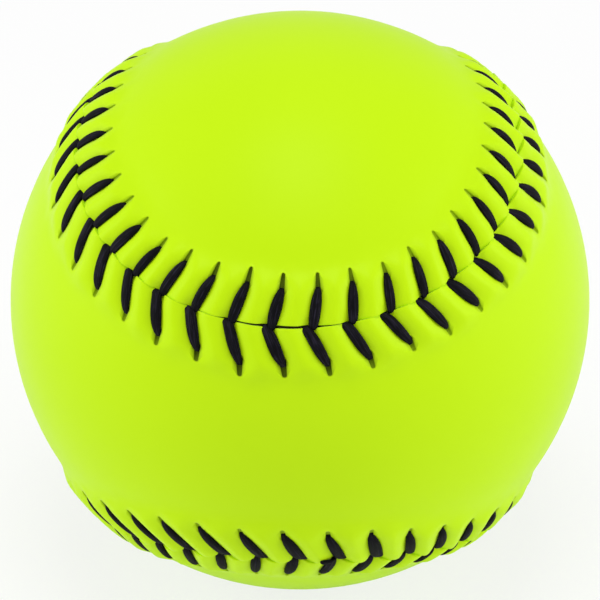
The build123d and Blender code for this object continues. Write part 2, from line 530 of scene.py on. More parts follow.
@dataclass(frozen=True)
class StitchTile:
    """One stitch's length of a panel's edge: welt, furrow under the leg, pillow and slot hole.

    Its flat places count from the seam on both panels. A point's place gets the panel's sign.
    """

    side: Side
    seam: Seam
    sewing: Sewing
    welt: Welt

    # The flat grid, how far the lip's own shifts reach, and where the leather is free to pucker.
    columns: int = 18
    start: float = -4.2
    join_tolerance: float = 1e-7
    lip_reach: float = 2.5
    still_border: float = 1.0
    free_fade: float = 4.0

    # The furrow that a leg presses in, which is shallower at its hole.
    furrow_depth: float = 0.62
    furrow_width: float = 1.3
    furrow_end: float = 0.5
    furrow_fade: float = 0.35

    # The pillow of leather between two legs.
    pillow_height: float = 0.62
    pillow_width: float = 2.3
    pillow_reach: float = 9.0
    pillow_fade: float = 3.5

    # The notch that the crossing threads press into the lip.
    notch_depth: float = 0.3
    notch_shift: float = 0.1
    notch_width: float = 1.15
    notch_reach: float = 1.3

    # The slot hole's outline, its floor, and how it gives way where it gapes.
    slot_width: float = 0.86
    slot_taper: float = 0.64
    slot_inner: float = 0.7
    front_slot_outer: float = 1.15
    back_slot_outer: float = 1.75
    slot_slant: float = 0.3
    slot_floor: float = 0.02
    slot_rise: float = 0.4
    slot_fade: float = 0.28
    slot_give: float = 0.9
    slot_widen: float = 0.3
    slot_stretch: float = 0.42
    slot_corners: int = 7

    # The slot's wall, as shares of its depth, and the painted shades of its wall and rim.
    wall_rows: tuple[float, ...] = (0.35, 1.0)
    wall_shade: float = 0.6
    rim_shade: float = 0.5
    rim_tolerance: float = 0.02

    # The dimple round the slot, and the ring of points that holds its shape.
    dimple_depth: float = 0.1
    dimple_width: float = 0.9
    ring_step: float = 0.22
    ring_clear: float = 1.7

    @property
    def neighbours(self) -> tuple[float, float, float]:
        """Places along the seam of the stitch before, this stitch and the stitch after."""
        return -self.seam.pitch, 0.0, self.seam.pitch

    def nearest_leg(self, across: np.ndarray, along: np.ndarray) -> tuple[np.ndarray, np.ndarray]:
        """Distance of flat places from the nearest leg's middle line, and the share of the leg there."""
        foot = np.array([0.0, -self.sewing.lead(self.side)])
        leg = np.array([self.sewing.hole_across, 0.0]) - foot
        distances, shares = [], []
        for stitch in self.neighbours:
            offset = np.stack([across, along - stitch], axis=-1) - foot
            share = np.clip(offset @ leg / (leg @ leg), 0, 1)
            distances.append(np.linalg.norm(offset - share[..., None] * leg, axis=-1))
            shares.append(share)
        return np.min(distances, axis=0), np.choose(np.argmin(distances, axis=0), shares)

    def furrow(self, share: np.ndarray) -> np.ndarray:
        """Depth of the furrow under a leg, at shares of the way from the seam to the hole."""
        fade = smooth_step((share - (1 - self.furrow_fade)) / self.furrow_fade)
        return self.furrow_depth * (1 - (1 - self.furrow_end) * fade)

    def notch(self, across: np.ndarray, along: np.ndarray) -> np.ndarray:
        """How far flat places are in the notch that the crossing threads press into the lip, 0 to 1."""
        from_middle = along + (self.sewing.front_lead + self.sewing.back_lead) / 2
        from_middle = from_middle - self.seam.pitch * np.round(from_middle / self.seam.pitch)
        return np.exp(-((from_middle / self.notch_width) ** 4)) * bell(across, self.notch_reach)

    def relief(self, across: np.ndarray, along: np.ndarray) -> np.ndarray:
        """Height that the sewing adds to the plain welt at flat places."""
        distance, share = self.nearest_leg(across, along)
        pillow = self.pillow_height * (1 - bell(distance, self.pillow_width))
        pillow = pillow * smooth_step((self.pillow_reach - across) / self.pillow_fade)
        furrow = self.furrow(share) * bell(distance, self.furrow_width)
        gaps = [self.slot_gap(np.stack([across, along - stitch], axis=-1)) for stitch in self.neighbours]
        dimple = self.dimple_depth * bell(np.maximum(np.min(gaps, axis=0), 0), self.dimple_width)
        return pillow - furrow - dimple - self.notch_depth * self.notch(across, along)

    def free(self, across: np.ndarray) -> np.ndarray:
        """How freely the leather puckers at places across the seam, 0 at the plain middle's border."""
        return np.clip((self.welt.reach - self.still_border - across) / self.free_fade, 0, 1)

    def slot_line(self) -> tuple[np.ndarray, np.ndarray]:
        """Ends of the slot hole's middle line in the flat frame."""
        tip = self.sewing.hole_across
        slant = self.slot_slant * self.sewing.lead(self.side) / tip
        outer = self.side.pick(self.front_slot_outer, self.back_slot_outer)
        return tuple(np.array([tip + end, end * slant]) for end in (-self.slot_inner, outer))

    def slot_share(self, places: np.ndarray) -> np.ndarray:
        """Share of the way along the slot's middle line, away from the seam, nearest to flat places."""
        near, far = self.slot_line()
        line = far - near
        return np.clip((places - near) @ line / (line @ line), 0, 1)

    def slot_gap(self, places: np.ndarray) -> np.ndarray:
        """Distance of flat places from the slot's rim, below zero inside the slot."""
        near, far = self.slot_line()
        share = self.slot_share(places)
        radius = self.slot_width / 2 * (1 - (1 - self.slot_taper) * share)
        return np.linalg.norm(places - near - share[..., None] * (far - near), axis=-1) - radius

    def slot_girth(self, places: np.ndarray) -> np.ndarray:
        """Shifts of flat places by which the slot gapes, a little wider and longer."""
        near, far = self.slot_line()
        along = self.slot_share(places)[:, None] * (far - near)
        give = smooth_step(1 - self.slot_gap(places) / self.slot_give)
        shift = (places - near - along) * self.slot_widen + along * self.slot_stretch
        return shift * give[:, None]

    def slot_ring(self, margin: float) -> list[tuple[float, float]]:
        """Corners of an outline at one distance outside the slot's rim."""
        near, far = self.slot_line()
        heading = math.atan2(*(far - near)[::-1])
        ring = []
        for centre, turn, taper in ((far, -math.pi / 2, self.slot_taper), (near, math.pi / 2, 1.0)):
            radius = self.slot_width / 2 * taper + margin
            for corner in range(self.slot_corners):
                angle = heading + turn + math.pi * corner / (self.slot_corners - 1)
                ring.append((centre[0] + radius * math.cos(angle), centre[1] + radius * math.sin(angle)))
        return ring

    def flat_places(self) -> tuple[np.ndarray, int]:
        """Places of the flat mesh's points.

        Returns:
            The places, the slot's rim first, and the number of points in the rim.
        """
        rim = self.slot_ring(0.0)
        collar = self.slot_ring(self.ring_step)
        along = self.start + np.linspace(0, self.seam.pitch, self.columns + 1)
        grid = np.array([(row, column) for row in self.welt.rows() for column in along])
        clear = self.slot_gap(grid) > self.ring_clear * self.ring_step
        return np.concatenate([rim, collar, grid[clear]]), len(rim)

    def build(self) -> bpy.types.Object:
        """Makes the tile's flat mesh, with its outer face, rim, inner face and slot."""
        places, rim_count = self.flat_places()
        rim_edges = [(i, (i + 1) % rim_count) for i in range(rim_count)]
        flat = [Vector(place) for place in places]
        verts, _, faces, *_ = delaunay_2d_cdt(flat, rim_edges, [], WHOLE_HULL, self.join_tolerance)
        places = np.array(verts)
        piece = FlatPiece()
        self._add_outside(piece, places)
        for face in faces:
            corners = places[list(face)]
            if self.slot_gap(corners.mean(axis=0)) > 0 or not self._all_on_rim(corners):
                piece.faces.append(self._turned(face, corners))
        self._sink_slot(piece, places)
        self._line_inside(piece, places)
        return piece.to_object(f"{self.side.label}_tile")

    def _add_outside(self, piece: FlatPiece, places: np.ndarray) -> None:
        """Adds the points of the panel's outer face."""
        rows, along = places.T
        across, height = self.welt.section(rows)
        height = height + self.relief(across, along)
        lip = np.clip(1 - across / self.lip_reach, 0, 1)
        raised = lip * (height > self.welt.lip_centre / 2)
        height = height + self.side.pick(self.welt.front_rise, 0.0) * raised
        across = across + self.notch_shift * self.notch(across, along) * lip
        # Painted shade: the leather darkens at the slot's rim, less towards its far end.
        near_slot = np.clip(1 - self.slot_gap(places) / self.ring_step, 0, 1)
        marks = {
            "lip": lip,
            "free": self.free(across),
            "hole_shade": near_slot * self.rim_shade * (1 - self.slot_fade * self.slot_share(places)),
            "fill_edge": OUTER_BORDER * (rows >= self.welt.reach - SAME_PLACE),
        }
        girth = self.slot_girth(places)
        for i, place in enumerate(zip(across, along, height)):
            self._add(piece, place, girth[i], **{name: values[i] for name, values in marks.items()})

    def _add(
        self,
        piece: FlatPiece,
        place: Sequence[float],
        girth: Sequence[float] = (0.0, 0.0),
        **marks: float,
    ) -> int:
        """Adds a point of this panel to a flat mesh.

        Args:
            piece: The flat mesh.
            place: Distance from the seam, place along it and height.
            girth: Shifts across and along by which the point gives way where the holes gape.
            marks: Its other marks, which are zero where they aren't given.

        Returns:
            The point's number.
        """
        sign = self.side.value
        every = dict(lip=0.0, free=0.0, hole_shade=0.0, fill_edge=0.0, back=self.side.back) | marks
        every |= dict(girth_x=sign * girth[0] * MM, girth_y=girth[1] * MM)
        return piece.add((sign * place[0], *place[1:]), **every)

    def _all_on_rim(self, corners: np.ndarray) -> bool:
        """Whether a flat face's corners all lie on the slot's rim."""
        return bool(np.all(np.abs(self.slot_gap(corners)) < self.rim_tolerance))

    def _turned(self, face: Sequence[int], corners: np.ndarray) -> tuple[int, ...]:
        """A flat face, turned so that it looks outwards."""
        one, two, three = corners[:3]
        area = (two[0] - one[0]) * (three[1] - one[1]) - (two[1] - one[1]) * (three[0] - one[0])
        return tuple(face) if area * self.side.value > 0 else tuple(reversed(face))

    def _sink_slot(self, piece: FlatPiece, places: np.ndarray) -> None:
        """Adds the slot's wall and floor below its rim, with painted shade that darkens down to the floor."""
        wanted = np.array(self.slot_ring(0.0))
        rim = [int(np.argmin(np.linalg.norm(places - corner, axis=1))) for corner in wanted]
        if self.side is Side.BACK:
            rim.reverse()
        outer, girth = self.slot_share(places[rim]), self.slot_girth(places[rim])
        rings = [rim]
        for depth in self.wall_rows:
            ring = []
            for i, corner in enumerate(rim):
                x, y, z = piece.points[corner]
                sunk = z + (self.slot_floor - z) * depth * (1 - self.slot_rise * outer[i])
                # Painted shade, deeper down the wall and fainter towards the slot's far end.
                shade = (self.wall_shade + (1 - self.wall_shade) * depth) * (1 - self.slot_fade * outer[i])
                ring.append(self._add(piece, (abs(x), y, sunk), girth[i], free=1.0, hole_shade=shade))
            rings.append(ring)
        for upper, lower in zip(rings, rings[1:]):
            for i in range(len(rim)):
                j = (i + 1) % len(rim)
                piece.faces.append((upper[i], upper[j], lower[j], lower[i]))
        piece.faces.append(tuple(rings[-1]))

    def _line_inside(self, piece: FlatPiece, places: np.ndarray) -> None:
        """Adds the panel's inner face, joined to the foot of its lip."""
        foot = np.flatnonzero(places[:, 0] <= self.welt.foot_row + SAME_PLACE)
        foot = foot[np.argsort(places[foot, 1])]
        rows = [[int(i) for i in foot]]
        for across, height in self.welt.inside:
            border = INNER_BORDER if across >= self.welt.reach else 0
            marks = dict(free=self.free(across), fill_edge=border)
            rows.append([self._add(piece, (across, places[i, 1], height), **marks) for i in foot])
        for one, two in zip(rows, rows[1:]):
            for i in range(len(foot) - 1):
                face = (one[i], one[i + 1], two[i + 1], two[i])
                piece.faces.append(self.side.pick(face, face[::-1]))


@dataclass(frozen=True)
class Stop:
    """One section of a thread: its place in the flat frame, its wide direction and its sizes."""

    place: np.ndarray
    wide: np.ndarray
    width: float
    thickness: float
    back: float
    foot: float = 0.0


@dataclass(frozen=True)
class Strand:
    """A flattened tube through stops, with a UV map along and round it."""

    name: str
    stops: Sequence[Stop]
    sides: int = 8

    def build(self, period: float | None = None) -> bpy.types.Object:
        """Makes the tube.

        Args:
            period: Length along the seam after which the tube repeats, or None where both ends are closed.

        Returns:
            The flat tube's object.
        """
        places = np.array([stop.place for stop in self.stops])
        step = np.array([0.0, period or 0.0, 0.0])
        before = np.vstack([places[-2] + step if period else places[0], places[:-1]])
        after = np.vstack([places[1:], places[1] - step if period else places[-1]])
        piece = FlatPiece()
        for stop, course in zip(self.stops, after - before):
            self._add_ring(piece, stop, course)
        self._add_skin(piece, closed=period is None)
        made = piece.to_object(self.name)
        self._unwrap(made.data, places)
        return made

    def _add_ring(self, piece: FlatPiece, stop: Stop, course: np.ndarray) -> None:
        """Adds the points round one stop, with its broad side along the stop's wide direction."""
        broad = unit(stop.wide)
        deep = unit(np.cross(course, broad))
        for number in range(self.sides):
            angle = 2 * math.pi * (number + 0.5) / self.sides - math.pi / 2
            offset = broad * stop.width / 2 * math.cos(angle) + deep * stop.thickness / 2 * math.sin(angle)
            girth_x, girth_y, _ = offset * MM
            piece.add(stop.place + offset, lip=stop.foot, back=stop.back, girth_x=girth_x, girth_y=girth_y)

    def _add_skin(self, piece: FlatPiece, closed: bool) -> None:
        """Joins ring to ring, and closes both ends where wanted."""
        sides = self.sides
        for low in range(0, sides * (len(self.stops) - 1), sides):
            high = low + sides
            for i in range(sides):
                j = (i + 1) % sides
                piece.faces.append((low + j, high + j, high + i, low + i))
        if closed:
            piece.faces.append(tuple(reversed(range(sides))))
            piece.faces.append(tuple(range(len(piece.points) - sides, len(piece.points))))

    def _unwrap(self, mesh: bpy.types.Mesh, places: np.ndarray) -> None:
        """Adds the UV map: millimetres along the thread, and share of the way round it."""
        lengths = np.concatenate([[0.0], np.cumsum(np.linalg.norm(np.diff(places, axis=0), axis=1))])
        layer = mesh.uv_layers.new(name="fibres")
        for face in mesh.polygons:
            corners = [mesh.loops[loop].vertex_index for loop in face.loop_indices]
            wraps = len(corners) == 4 and {corner % self.sides for corner in corners} == {0, self.sides - 1}
            for loop, corner in zip(face.loop_indices, corners):
                around = corner % self.sides
                around = around + self.sides if wraps and around == 0 else around
                layer.data[loop].uv = (lengths[corner // self.sides], around / self.sides)


@dataclass(frozen=True)
class StitchPath:
    """The path of one thread through two stitches, one on each panel, and its tail.

    A row of the leg holds the share of the way from the hole to the seam, the widths on the front and
    the back panel as shares of the full width, and the share of the full thickness, which also lifts it.
    """

    first: Side
    seam: Seam
    sewing: Sewing
    welt: Welt

    # The thread's full section on top, its thin section in the holes, and its depth under the cover.
    width: float = 2.0
    thickness: float = 0.95
    thin_width: float = 0.85
    thin_thickness: float = 0.55
    under: float = -1.72

    # Where it comes up in the hole, how deep it lies in its furrow, and how it dives at the seam.
    hole_share: float = -0.03
    hole_height: float = 0.1
    bedding: float = 0.6
    sink: float = 0.75
    dive_height: float = -0.1
    foot_width: float = 0.7
    foot_start: float = 0.55
    foot_fade: float = 0.35
    trail_share: float = 0.15

    # A leg's foot across the seam and its trail along it, and the bow of its middle line.
    front_foot: tuple[float, float] = (0.15, 0.35)
    back_foot: tuple[float, float] = (-0.3, 0.0)
    front_bow: float = 0.03
    back_bow: float = 0.12
    leg: tuple[tuple[float, float, float, float], ...] = (
        (0.0, 0.45, 0.5, 0.3),
        (0.08, 0.64, 0.7, 0.62),
        (0.22, 0.84, 0.9, 0.9),
        (0.43, 0.98, 1.02, 1.0),
        (0.68, 1.02, 0.98, 0.96),
        (0.86, 1.0, 0.86, 0.88),
        (0.93, 1.04, 0.78, 0.74),
        (0.97, 1.12, 0.7, 0.56),
        (0.99, 1.16, 0.64, 0.4),
    )
    tail: tuple[tuple[float, float, float], ...] = (
        (0.0, -1.5, -0.3),
        (0.35, -1.35, 0.6),
        (0.85, -0.9, 1.3),
        (1.05, -0.1, 1.6),
        (0.8, 0.9, 1.6),
    )
    tail_wide: tuple[float, float, float] = (1.0, 0.4, 0.0)
    tail_width: float = 1.02
    tail_thickness: float = 0.825

    def stitch_stops(self, side: Side, hole: float) -> list[Stop]:
        """Stops of the thread through one stitch.

        Args:
            side: Panel that the visible leg lies on.
            hole: Place of the stitch's hole along the seam.

        Returns:
            The stops from under the hole, along the leg and on to under the next hole.
        """
        tip = np.array([side.value * self.sewing.hole_across, hole])
        foot_across, foot_trail = side.pick(self.front_foot, self.back_foot)
        foot = np.array([side.value * foot_across, hole - self.sewing.lead(side)])
        heading = unit(foot - tip)
        square = np.array([-heading[1], heading[0]])
        square = square * math.copysign(1.0, square[1])
        bow = side.pick(self.front_bow, self.back_bow)
        thin = (self.thin_width, self.thin_thickness)
        tile = StitchTile(side, self.seam, self.sewing, self.welt)

        def stop(share: float, height: float, width: float, thickness: float) -> Stop:
            """One stop at a share of the way from the hole to the seam."""
            trail = foot_trail * max(share - (1 - self.trail_share), 0.0) / self.trail_share
            sag = bow * math.sin(math.pi * max(share, 0.0))
            place = tip + (foot - tip) * share - np.array([0.0, trail + sag])
            wide = square * (1 - share**2) + np.array([0.0, 1.0]) * share**2
            low = np.clip((share - self.foot_start) / self.foot_fade, 0, 1) * (height > self.under)
            return Stop(np.array([*place, height]), np.array([*wide, 0.0]), width, thickness, side.back, low)

        stops = [stop(self.hole_share, height, *thin) for height in (self.under, self.hole_height)]
        for share, front_width, back_width, lift in self.leg:
            across = abs((tip + (foot - tip) * share)[0])
            ground = float(self.welt.height(np.array([across]))[0]) - self.sink * tile.furrow(1 - share)
            thick = self.thin_thickness + (self.thickness - self.thin_thickness) * lift
            height = ground + thick * (lift - self.bedding)
            stops.append(stop(share, height, self.width * side.pick(front_width, back_width), thick))
        stops.append(stop(1.0, self.dive_height, self.width * self.foot_width, self.thin_thickness))
        stops.append(stop(1.0, self.under, *thin))
        next_tip = np.array([-tip[0], hole - self.seam.pitch])
        middle = (foot + next_tip) / 2
        stops.append(Stop(np.array([*middle, self.under]), np.array([0.0, 1.0, 0.0]), *thin, 0.5))
        return stops

    def build(self) -> bpy.types.Object:
        """Makes the flat tube through both stitches, open at its two ends, which meet when repeated."""
        stops = self.stitch_stops(self.first, 0.0) + self.stitch_stops(self.first.other, -self.seam.pitch)
        start = stops[0]
        end = start.place - np.array([0.0, 2 * self.seam.pitch, 0.0])
        stops.append(Stop(end, start.wide, start.width, start.thickness, start.back))
        return Strand(f"{self.first.label}_stitches", stops).build(2 * self.seam.pitch)

    def build_tail(self, stitch: int) -> bpy.types.Object:
        """Makes the thread's tail, which comes up through the seam at a stitch and lies on the cover."""
        shift = np.array([0.0, stitch * self.seam.pitch, 0.0])
        sizes = (np.array(self.tail_wide), self.tail_width, self.tail_thickness, Side.BACK.back)
        return Strand("tail", [Stop(np.array(place) + shift, *sizes) for place in self.tail]).build()


@dataclass
class SewingTree:
    """The node tree that repeats a flat piece along the seam and wraps it round the ball."""

    seam: Seam
    sewing: Sewing
    welt: Welt
    weld: float = 0.004
    uneven_scale: float = 120.0
    pucker_scale: float = 190.0

    def __post_init__(self) -> None:
        """Builds the tree with its named inputs."""
        self.tree = bpy.data.node_groups.new("sew_round_ball", "GeometryNodeTree")
        self.identifiers: dict[str, str] = {}
        self.graph = Graph(self.tree)
        self._add_inputs()
        self.tree.interface.new_socket("Geometry", in_out="OUTPUT", socket_type="NodeSocketGeometry")
        self._build()

    def _add_inputs(self) -> None:
        """Adds the tree's inputs and keeps their identifiers."""
        seam = self.seam
        sizes = {
            "Ball Radius": seam.ball_radius * MM,
            "Seam Length": seam.pitch * seam.stitch_count * MM,
            "Wave Major": seam.wave_major,
            "Wave Minor": seam.wave_minor,
            "Wave Depth": seam.wave_depth,
            "Spacing": seam.pitch * MM,
            "Pitch": seam.pitch * MM,
            "Weld": self.weld * MM,
            "Swell": 0.0,
            "Gape Widen": 0.0,
        }
        sizes |= self.sewing.tree_inputs()
        kinds = {name: "NodeSocketFloat" for name in sizes}
        kinds |= {name: "NodeSocketInt" for name in ("Count", "Smoothing", "Seed")}
        kinds |= {"Piece": "NodeSocketObject", "Finish": "NodeSocketMaterial"}
        for name, kind in kinds.items():
            made = self.tree.interface.new_socket(name, in_out="INPUT", socket_type=kind)
            if name in sizes:
                made.default_value = sizes[name]
            self.identifiers[name] = made.identifier
        self.source = self.graph.node("NodeGroupInput")

    def given(self, name: str) -> Socket:
        """One of the tree's named inputs."""
        return self.graph.out(self.source, name)

    def _then(self, kind: str, geometry: Socket, **inputs: Feed) -> Socket:
        """Adds a node that changes a geometry."""
        return self.graph.out(self.graph.node(kind, inputs={0: geometry} | inputs))

    def _seam_curve(self) -> Socket:
        """Adds the seam as a closed curve on the ball."""
        graph = self.graph
        circle = graph.node("GeometryNodeCurvePrimitiveCircle", inputs={"Resolution": self.seam.samples})
        turn = graph.out(graph.node("GeometryNodeSplineParameter"), "Factor") * (2 * math.pi)
        major, minor = self.given("Wave Major"), self.given("Wave Minor")
        waves = graph.combine(
            major * graph.math("SINE", turn) + minor * graph.math("SINE", turn * 3),
            self.given("Wave Depth") * graph.math("COSINE", turn * 2) * -1,
            major * graph.math("COSINE", turn) - minor * graph.math("COSINE", turn * 3),
        )
        place = graph.scaled(graph.vector("NORMALIZE", waves), self.given("Ball Radius"))
        return self._then("GeometryNodeSetPosition", graph.out(circle, "Curve"), Position=place)

    def _repeated(self) -> Socket:
        """Adds the flat piece, repeated along y and made real."""
        graph = self.graph
        line = graph.node(
            "GeometryNodeMeshLine",
            {"mode": "OFFSET"},
            {"Count": self.given("Count"), "Offset": graph.combine(0.0, self.given("Spacing"), 0.0)},
        )
        piece = graph.node("GeometryNodeObjectInfo", inputs={"Object": self.given("Piece")})
        shape = graph.out(piece, "Geometry")
        copies = self._then("GeometryNodeInstanceOnPoints", graph.out(line), Instance=shape)
        return self._then("GeometryNodeRealizeInstances", copies)

    def _sample(self, curve: Socket, share: Socket) -> tuple[Socket, Socket]:
        """Adds the seam's place and direction at a share of its length."""
        inputs = {"Curves": curve, "Factor": share}
        made = self.graph.node("GeometryNodeSampleCurve", {"mode": "FACTOR"}, inputs)
        return self.graph.out(made, "Position"), self.graph.out(made, "Tangent")

    def _named(self, name: str) -> Socket:
        """Adds the value of a flat piece's own mark."""
        made = self.graph.node("GeometryNodeInputNamedAttribute", {"data_type": "FLOAT"}, {"Name": name})
        return self.graph.out(made, "Attribute")

    def _swinging(self, place: Socket, scale: float) -> Socket:
        """Adds a noise from about -1 to 1."""
        return (self.graph.noise(place, scale) - 0.5) * 2

    def _uneven(self, rough_place: Socket, what: Uneven) -> Socket:
        """Adds a value from about -1 to 1 that changes from stitch to stitch."""
        shift = self.graph.combine(self.given("Seed"), what.value, 0.0)
        return self._swinging(self.graph.vector("ADD", rough_place, shift), self.uneven_scale)

    def _zone(self, turn: Socket, name: str) -> Socket:
        """Adds how near a place is to one of the named stretches of the seam, 0 to 1."""
        distance = self.graph.math("WRAP", turn - self.given(f"{name} Turn"), math.pi, -math.pi)
        distance = distance / self.given(f"{name} Width")
        return math.e ** (distance * distance * -1)

    def _phase(self, turn: Socket, rough_place: Socket) -> Socket:
        """Adds how far the sewing has run ahead of an even pitch, in pitches."""
        phase = self.given("Phase") + self.given("Jitter") * self._uneven(rough_place, Uneven.PHASE)
        for number in (1, 2):
            for wave in ("Cosine", "Sine"):
                size = self.given(f"Phase {wave} {number}")
                phase = phase + size * self.graph.math(wave.upper(), turn * number)
        return phase

    def _club(self, turn: Socket) -> Socket:
        """Adds how much thicker the front panel's tight legs are, at the hole and at the seam."""
        head, foot = self.given("Tight Head"), self.given("Tight Foot")
        swell = head + (foot - head) * self._named("lip")
        return (1 - self._named("back")) * self._zone(turn, "Tight") * swell

    def _across(self, x: Socket, turn: Socket, rough_place: Socket) -> Socket:
        """Adds the place across the seam of a flat x, with the panel's own spread and the seam's gap."""
        graph = self.graph
        swing, short = graph.math("COSINE", turn), self._zone(turn, "Short")
        front = self.given("Front Spread") + self.given("Front Spread Swing") * swing
        front = front + self.given("Short Spread") * short
        back = self.given("Back Spread") + self.given("Short Back Spread") * short
        spread = front + (back - front) * self._named("back")
        spread = spread * (1 + self.given("Reach Jitter") * self._uneven(rough_place, Uneven.REACH))
        knee, reach = self.sewing.spread_knee * MM, self.welt.reach * MM
        size = graph.math("ABSOLUTE", x)
        near = spread * graph.math("MINIMUM", size, knee)
        beyond = graph.math("MAXIMUM", size - knee, 0.0) * (reach - spread * knee) / (reach - knee)
        gate = graph.math("MAXIMUM", swing, 0.0) ** self.sewing.opening_sharpness
        parted = near + beyond + self._named("lip") * self.given("Opening") * gate
        drift = self.given("Short Drift") * short * graph.math("MAXIMUM", 1 - size / reach, 0.0)
        return parted * graph.math("SIGN", x) - drift

    def _along(self, x: Socket, y: Socket, turn: Socket, rough_place: Socket) -> Socket:
        """Adds the share of the seam's length of a flat y, with all that shifts the stitches."""
        graph = self.graph
        back = self._named("back")
        shift = self._phase(turn, rough_place) * self.given("Pitch")
        middle = self.given("Middle Shift") * self._zone(turn, "Middle")
        shift = shift + back * (self.given("Back Shift") + middle)
        slant = self.given("Tight Slant") * self._zone(turn, "Tight") * graph.math("ABSOLUTE", x)
        shift = shift + (1 - back) * slant
        return graph.math("WRAP", (y + shift) / self.given("Seam Length"), 1.0, 0.0)

    def _flat_place(self) -> tuple[Socket, Socket, Socket]:
        """Adds the flat place of a point: across, along and height."""
        return self.graph.split(self.graph.out(self.graph.node("GeometryNodeInputPosition")))

    def _gaping(self, flat_piece: Socket) -> Socket:
        """Adds the holes' painted shade, darkest where the holes gape at the middle of the upper seam."""
        _, y, _ = self._flat_place()
        zone = self._zone(y / self.given("Seam Length") * (2 * math.pi), "Gape")
        plain = self.given("Plain Shade")
        factor = plain + (self.given("Gape Shade") - plain) * zone
        made = self.graph.node(
            "GeometryNodeStoreNamedAttribute",
            {"data_type": "FLOAT", "domain": "POINT"},
            {0: flat_piece, "Name": "hole_shade", "Value": self._named("hole_shade") * factor},
        )
        return self.graph.out(made)

    def _wrapped_place(self, curve: Socket) -> Socket:
        """Adds the place on the ball of a flat point."""
        graph = self.graph
        radius = self.given("Ball Radius")
        x, y, z = self._flat_place()
        share = graph.math("WRAP", y / self.given("Seam Length"), 1.0, 0.0)
        turn = share * (2 * math.pi)
        rough_place, _ = self._sample(curve, share)
        girth = self.given("Girth Jitter") * self._uneven(rough_place, Uneven.GIRTH) + self._club(turn)
        girth = girth + self.given("Gape Widen") * self._zone(turn, "Gape")
        x = x + girth * self._named("girth_x")
        y = y + girth * self._named("girth_y")
        place, tangent = self._sample(curve, self._along(x, y, turn, rough_place))
        outward = graph.vector("NORMALIZE", place)
        front = graph.vector("NORMALIZE", graph.vector("CROSS_PRODUCT", tangent, outward))
        angle = self._across(x, turn, rough_place) / radius
        direction = graph.vector(
            "ADD",
            graph.scaled(outward, graph.math("COSINE", angle)),
            graph.scaled(front, graph.math("SINE", angle)),
        )
        pucker = self._swinging(graph.scaled(direction, radius), self.pucker_scale)
        rise = z + pucker * self.given("Pucker") * self._named("free")
        rise = rise + self.given("Swell") * self._zone(turn, "Tight") * self._named("lip")
        return graph.scaled(direction, radius + rise)

    def _build(self) -> None:
        """Adds the nodes from the flat piece to the finished geometry."""
        place = self._wrapped_place(self._seam_curve())
        made = self._then("GeometryNodeSetPosition", self._gaping(self._repeated()), Position=place)
        made = self._then("GeometryNodeMergeByDistance", made, Distance=self.given("Weld"))
        made = self._then("GeometryNodeSubdivisionSurface", made, Level=self.given("Smoothing"))
        made = self._then("GeometryNodeSetShadeSmooth", made)
        made = self._then("GeometryNodeRealizeInstances", made)
        made = self._then("GeometryNodeSetMaterial", made, Material=self.given("Finish"))
        self.graph.node("NodeGroupOutput", inputs={"Geometry": made})

    def sew(
        self, name: str, piece: bpy.types.Object, finish: bpy.types.Material, sizes: dict[str, float]
    ) -> bpy.types.Mesh:
        """Runs the tree on a flat piece.

        Args:
            name: Name of the new mesh.
            piece: Flat object to repeat.
            finish: Material of the result.
            sizes: Values of the tree's other inputs, by name.

        Returns:
            The result as a plain mesh.
        """
        holder = show(name, bpy.data.meshes.new(f"{name}_holder"))
        modifier = holder.modifiers.new("sew", "NODES")
        modifier.node_group = self.tree
        values = {"Piece": piece, "Finish": finish, "Seed": self.sewing.seed} | sizes
        for label, value in values.items():
            modifier[self.identifiers[label]] = value
        bpy.context.view_layer.update()
        evaluated = holder.evaluated_get(bpy.context.evaluated_depsgraph_get())
        mesh = bpy.data.meshes.new_from_object(evaluated)
        mesh.name = name
        bpy.data.objects.remove(holder)
        return mesh


@dataclass(frozen=True)
class Finish:
    """A finish with a procedural material of its own.

    Its roughness is a base and what a pattern adds to it. Its bump is a strength and a depth.
    """

    name: str
    roughness: tuple[float, float]
    bump: tuple[float, float]

    def material(self) -> bpy.types.Material:
        """Makes the material, with its shader fed by sockets()."""
        made = bpy.data.materials.new(self.name)
        graph = Graph.of(made)
        shader = graph.node("ShaderNodeBsdfPrincipled", inputs=self.sockets(graph))
        graph.node("ShaderNodeOutputMaterial", inputs={"Surface": graph.out(shader)})
        return made

    def sockets(self, graph: Graph) -> dict[str, Feed]:
        """Values and links of the shader's sockets. Each finish has its own."""
        raise NotImplementedError

    def rough(self, pattern: Socket) -> Socket:
        """Adds the roughness that follows a pattern."""
        base, swing = self.roughness
        return base + swing * pattern

    def relief(self, graph: Graph, height: Socket) -> Socket:
        """Adds the bump of a pattern of heights."""
        strength, depth = self.bump
        inputs = {"Strength": strength, "Distance": depth * MM, "Height": height}
        return graph.out(graph.node("ShaderNodeBump", inputs=inputs))


